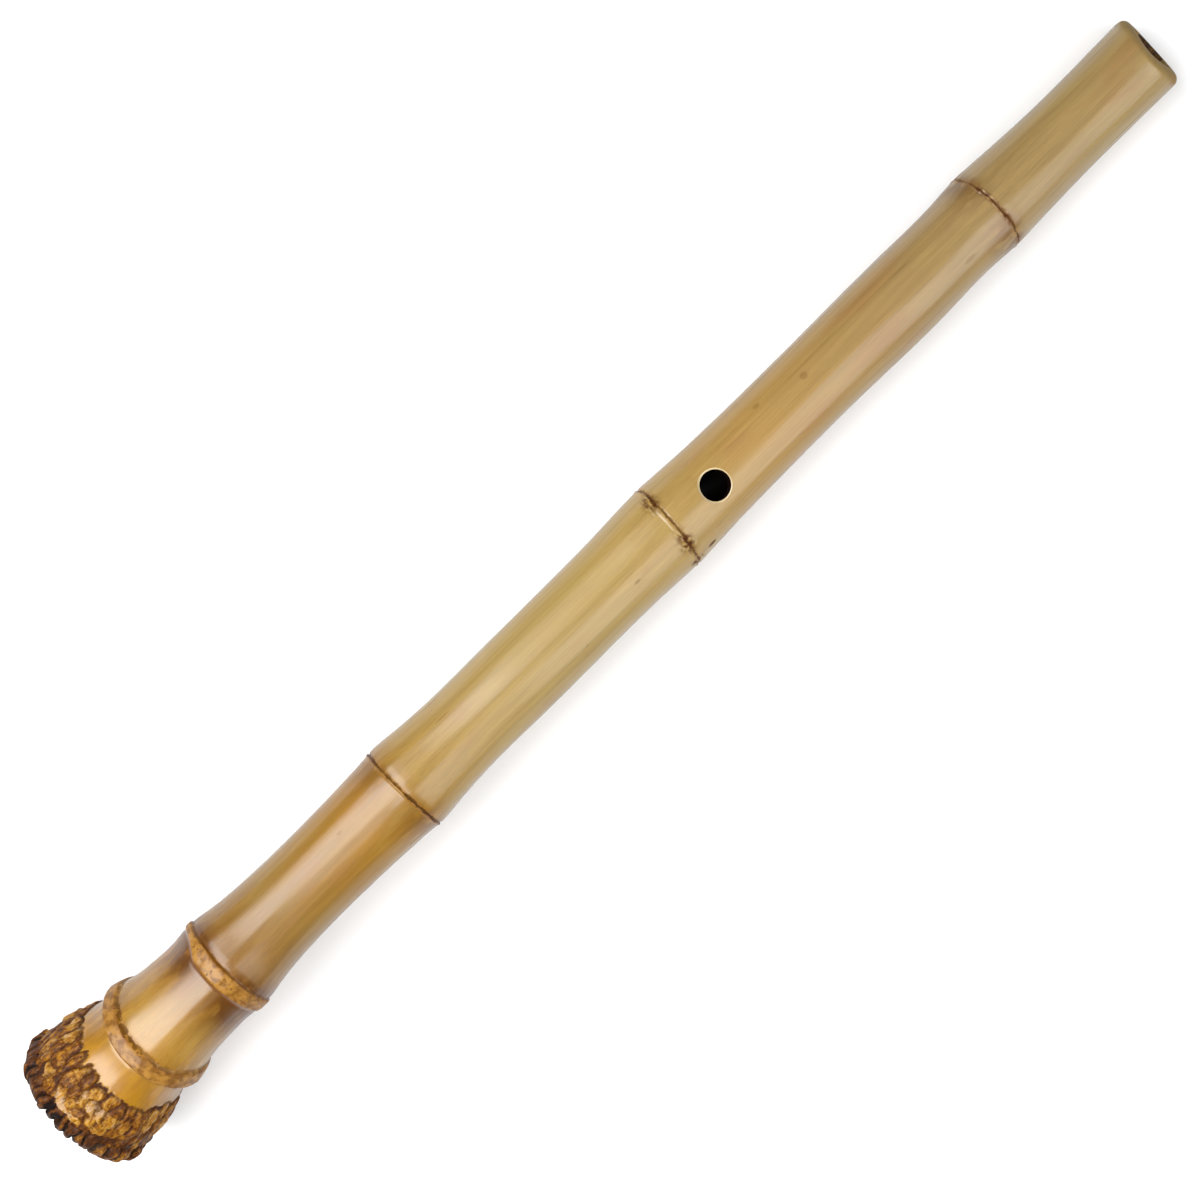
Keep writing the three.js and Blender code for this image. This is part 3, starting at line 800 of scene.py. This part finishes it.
def finish_lacquer():
    """Dark natural lacquer, brushed on along the bore."""
    material, tree, shader = new_finish("bore_lacquer")
    place = add_node(tree, "TexCoord").outputs["Object"]
    brushed = noise(tree, place, (80, 900, 900), 3)
    cloud = noise(tree, place, (60, 60, 60), 2)
    fill(tree, shader, {
        "Base Color": mix(tree, between(tree, cloud, 0.35, 0.65), paint("110504"), paint("1e0a06")),
        "Roughness": between(tree, brushed, 0.3, 0.7, 0.3, 0.45), "Specular IOR Level": 0.2,
        "Normal": relief(tree, brushed, 0.5, 0.05 * mm),
    })
    return material


bamboo_skin = finish_skin()
bamboo_cut = finish_cut()
bore_lacquer = finish_lacquer()
culm_skin = Skin()
grow_outside(culm_skin)
grow_face(culm_skin)
grow_bore(culm_skin)
culm = culm_skin.piece("bamboo", [bamboo_skin, bamboo_cut, bore_lacquer])


def cut_shape(name, points, faces, slots, materials):
    """A closed shape in the flute's frame, which a cut is made with."""
    mesh = bpy.data.meshes.new(name)
    mesh.from_pydata(np.asarray(points).tolist(), [], faces)
    mesh.polygons.foreach_set("material_index", slots)
    for material in materials:
        mesh.materials.append(material)
    mesh.transform(flute_place)
    return put_in_scene(name, mesh)


def apply_cuts(piece, shapes, operation="DIFFERENCE"):
    """Cuts the shapes out of a piece, or keeps only what is common to both."""
    for shape in shapes:
        tool = piece.modifiers.new(shape.name, "BOOLEAN")
        tool.operation = operation
        tool.object = shape
        tool.solver = "MANIFOLD"
        tool.material_mode = "TRANSFER"
    kept = bpy.data.meshes.new_from_object(piece.evaluated_get(bpy.context.evaluated_depsgraph_get()))
    piece.modifiers.clear()
    piece.data = kept


# The tone holes: the walls below the bevel are lacquered like the bore. The bevel follows the culm's curve.
thumb_hole = {"station": 0.4268 * flute_length, "diameter": 11.2, "way": 1}
finger_holes = [
    {"station": share * flute_length, "diameter": 10.4, "way": -1} for share in (0.49, 0.585, 0.675, 0.787)
]
hole_bevel_depth = 0.4
hole_bevel_width = 0.6
hole_sides = 96
cut_overrun = 6  # how far a cutter reaches past what it cuts


def hole_cutter(hole):
    """A drill from the middle of the bore out through the wall, lacquered up to the bevel."""
    outside = float(culm_radius(hole["station"]))
    drill = hole["diameter"] / 2
    bevel = drill + hole_bevel_width
    clear = bevel + 0.3
    # Its rings by radius and height over the skin; the first one is flat and lies in the middle of the bore.
    rings = [(drill, None), (drill, -hole_bevel_depth), (bevel, 0.05), (clear, 0.5), (clear, cut_overrun)]
    points = []
    for radius, height in rings:
        along, side = radius * np.cos(around(hole_sides)), radius * np.sin(around(hole_sides))
        back = np.zeros(hole_sides) if height is None else np.sqrt(outside**2 - side**2) + height
        points.append(np.stack([along - hole["station"], side * hole["way"], back * hole["way"]], -1))
    lacquered, bare = 0, 1
    faces, slots = [list(range(hole_sides))[::-1]], [lacquered]
    for ring in range(len(rings) - 1):
        a, b = ring * hole_sides, (ring + 1) * hole_sides
        for i in range(hole_sides):
            j = (i + 1) % hole_sides
            faces.append([a + i, a + j, b + j, b + i])
            slots.append(lacquered if ring == 0 else bare)
    faces.append(list(range((len(rings) - 1) * hole_sides, len(rings) * hole_sides)))
    slots.append(bare)
    return cut_shape("hole_cutter", np.concatenate(points), faces, slots, [bore_lacquer, bamboo_cut])


hole_cutters = [hole_cutter(hole) for hole in [thumb_hole, *finger_holes]]

# The blowing edge: a bevel cut off the front of the rim, and in it the seat of the horn
bevel_angle = math.radians(25)
bevel_down = np.array([-math.cos(bevel_angle), 0, -math.sin(bevel_angle)])
bevel_across = np.array([0, -1, 0])
bevel_inward = np.cross(bevel_down, bevel_across)
bevel_start = np.array([0, 0, -mouth_bore_radius - edge_land])


def bevel_shape(name, outline, low, high, material):
    """A prism on the bevel: its outline by distance down and across, from low to high into the wall."""
    count = len(outline)
    points = [
        bevel_start + down * bevel_down + across * bevel_across + depth * bevel_inward
        for depth in (low, high)
        for down, across in outline
    ]
    faces = [list(range(count))[::-1], list(range(count, 2 * count))]
    faces += [[i, (i + 1) % count, count + (i + 1) % count, count + i] for i in range(count)]
    return cut_shape(name, points, faces, [0] * len(faces), [material])


all_round = 2 * mouth_diameter
bevel_outline = [
    (-all_round, all_round), (-all_round, -all_round), (all_round, -all_round), (all_round, all_round),
]
bevel_cutter = bevel_shape("bevel_cutter", bevel_outline, -all_round, 0, bamboo_cut)
apply_cuts(culm, [bevel_cutter])

# The horn: a wedge of dark water-buffalo horn, let into the front of the rim as a hard blowing edge. It is
# glued in, cut off flush with the bevel, the rim and the bore, and polished.
horn_edge_width = 13
horn_foot_width = 8.5
horn_length = 8
horn_play = 0.03
horn_black, tree, shader = new_finish("horn_black")
place = add_node(tree, "TexCoord").outputs["Object"]
layers = noise(tree, place, (90, 700, 260), 4, 0.6)
cloud = noise(tree, place, (150, 150, 150), 2)
colour = mix(tree, between(tree, layers, 0.4, 0.7, 0, 0.6), paint("3a260f"), paint("7a5222"))
colour = mix(tree, between(tree, cloud, 0.6, 0.8, 0, 0.3), colour, paint("6b4a22"))
fill(tree, shader, {"Base Color": colour, "Roughness": between(tree, layers, 0.3, 0.7, 0.16, 0.27)})


def horn_outline(play):
    """The wedge on the bevel, from past the blowing edge to its foot, with that much play round it."""
    edge, foot = horn_edge_width / 2 + play, horn_foot_width / 2 + play
    top = edge + (edge - foot) / horn_length * cut_overrun
    bottom = horn_length + play
    return [(-cut_overrun, top), (-cut_overrun, -top), (bottom, -foot), (bottom, foot)]


horn = put_in_scene("horn_edge", culm.data.copy())
horn_wedge = bevel_shape("horn_wedge", horn_outline(0), -cut_overrun, mouth_bore_radius, horn_black)
horn_seat = bevel_shape("horn_seat", horn_outline(horn_play), -cut_overrun, mouth_bore_radius, bamboo_cut)
apply_cuts(horn, [horn_wedge], "INTERSECT")
horn.data.name = "horn_edge"
horn.data.materials.clear()
horn.data.materials.append(horn_black)
horn.data.polygons.foreach_set("material_index", [0] * len(horn.data.polygons))
apply_cuts(culm, [horn_seat, *hole_cutters])
culm.data.name = "bamboo"


def keep_edges_crisp(piece, crisp_angle=28):
    """The edges of cuts are crisp, and the grown skin is smooth."""
    mesh = piece.data
    normals = [polygon.normal.copy() for polygon in mesh.polygons]
    cut = [polygon.material_index != skin_slot or len(mesh.materials) == 1 for polygon in mesh.polygons]
    beside = {}
    for polygon in mesh.polygons:
        for key in polygon.edge_keys:
            beside.setdefault(key, []).append(polygon.index)
    crisp = []
    for edge in mesh.edges:
        one, two = (beside.get(edge.key, []) + [0, 0])[:2]
        bent = normals[one].dot(normals[two]) < math.cos(math.radians(crisp_angle))
        crisp.append(bent and (cut[one] or cut[two]))
    mesh.polygons.foreach_set("use_smooth", [True] * len(mesh.polygons))
    sharp_mark = mesh.attributes.get("sharp_edge") or mesh.attributes.new("sharp_edge", "BOOLEAN", "EDGE")
    sharp_mark.data.foreach_set("value", crisp)


keep_edges_crisp(culm)
keep_edges_crisp(horn)
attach(culm, "root")
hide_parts("bamboo_culm")
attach(horn, "root")
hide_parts("utaguchi_inlay")

# The bore's lining: filler and dark lacquer, built up inside the culm to tune it, and pierced by the holes.
# It ends just short of the face, and has a little play in its seat.
lining_columns = 96
lining_end = flute_length - 0.2
lining_side_play = 0.04
lining_thickness = lining_wall - lining_side_play
lining = Skin()
for station in np.arange(lining_end, lacquer_top, -5.2):
    lining.add(station, even(bore_radius(station), lining_columns), 0)
for station in np.arange(lacquer_top, flute_length - 1, 9.5):
    lining.add(station, even(bore_radius(station) + lining_thickness, lining_columns), 0)
lining.add(lining_end, even(bore_radius(flute_length) + lining_thickness, lining_columns), 0)
bore = lining.piece("bore_coat", [bore_lacquer])
apply_cuts(bore, hole_cutters)
bore.data.name = "bore_coat"
bore.data.polygons.foreach_set("material_index", [0] * len(bore.data.polygons))
keep_edges_crisp(bore)
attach(bore, "root")
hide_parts("bore_lining")
for shape in [bevel_cutter, horn_wedge, horn_seat, *hole_cutters]:
    bpy.data.objects.remove(shape)

# The table: a plain pale sheet that the flute lies on. It glows a little, more so for the camera, and gloss
# mirrors a darker sheet, so the flute's lower sides keep their colour.
table_reach = 4
table_corners = [(x * table_reach, y * table_reach, 0) for x, y in ((-1, -1), (1, -1), (1, 1), (-1, 1))]
table_mesh = bpy.data.meshes.new("table")
table_mesh.from_pydata(table_corners, [], [(0, 1, 2, 3)])
table = put_in_scene("table", table_mesh)
table_white, tree, shader = new_finish("table_white")
path = add_node(tree, "LightPath").outputs
cloth = mix(tree, path["Is Glossy Ray"], (0.86, 0.86, 0.865, 1), (0.56, 0.56, 0.56, 1))
glow = between(tree, path["Is Camera Ray"], 0, 1, 0.06, 0.11)
glow = times(tree, glow, calculate(tree, "SUBTRACT", 1, path["Is Glossy Ray"]))
fill(tree, shader, {
    "Base Color": cloth, "Roughness": 0.9, "Specular IOR Level": 0.2,
    "Emission Color": (1, 1, 1, 1), "Emission Strength": glow,
})
table_mesh.materials.append(table_white)

# The camera looks down from above the middle of the flute, which lies slanting across the picture.
camera_spot = Vector((-0.0263, -0.0029, 0.723))
camera_tilt = math.radians(1)
look = Vector((math.sin(camera_tilt), 0, -1)).normalized()
picture_turn = math.radians(-44.7)
right = Vector((math.cos(picture_turn), math.sin(picture_turn), 0))
right = (right - look * right.dot(look)).normalized()
up = right.cross(look)
lens = bpy.data.cameras.new("camera")
lens.sensor_width = 36
lens.lens = 59.25
camera = put_in_scene("camera", lens)
camera.matrix_world = Matrix.Translation(camera_spot) @ Matrix((right, up, -look)).transposed().to_4x4()
bpy.context.scene.camera = camera


# The light: three soft boxes over the table, whose reflections are the long highlights, in a dim pale room.
def soft_box(name, over, tilt, distance, size, strength):
    """A soft box over a spot on the flute's length, tilted by degrees to the left side (+Y)."""
    light = bpy.data.lights.new(name, "AREA")
    light.shape = "RECTANGLE"
    light.size, light.size_y = size
    light.energy = strength * size[0] * size[1] * math.pi
    along = Vector((1, 0, 0))
    way = math.radians(tilt)
    spot = Vector((over, math.sin(way) * distance, math.cos(way) * distance))
    aim = (along * over - spot).normalized()
    turn = Matrix((along, -aim.cross(along), -aim)).transposed()
    put_in_scene(name, light).matrix_world = Matrix.Translation(spot) @ turn.to_4x4()


soft_box("barrel_box", over=-0.15, tilt=31, distance=1.12, size=(0.3, 1.05), strength=5.3)
soft_box("root_box", over=-0.71, tilt=13, distance=1.15, size=(0.82, 1.4), strength=6.7)
soft_box("mouth_box", over=0.4, tilt=-47, distance=1.12, size=(0.9, 1.15), strength=2.7)
room = bpy.data.worlds.new("room")
room.use_nodes = True
tree = room.node_tree
sky = add_node(tree, "SeparateXYZ", {0: add_node(tree, "TexCoord").outputs["Generated"]}).outputs[2]
walls = between(tree, sky, 0.4, 0, 0.03, 0.25)
ceiling = between(tree, sky, 0.4, 0.95, 0, 0.35)
brightness = calculate(tree, "ADD", walls, ceiling)
fill(tree, tree.nodes["Background"], {"Color": (1, 1, 1, 1), "Strength": brightness})
bpy.context.scene.world = room
bpy.context.scene.view_settings.view_transform = "Standard"
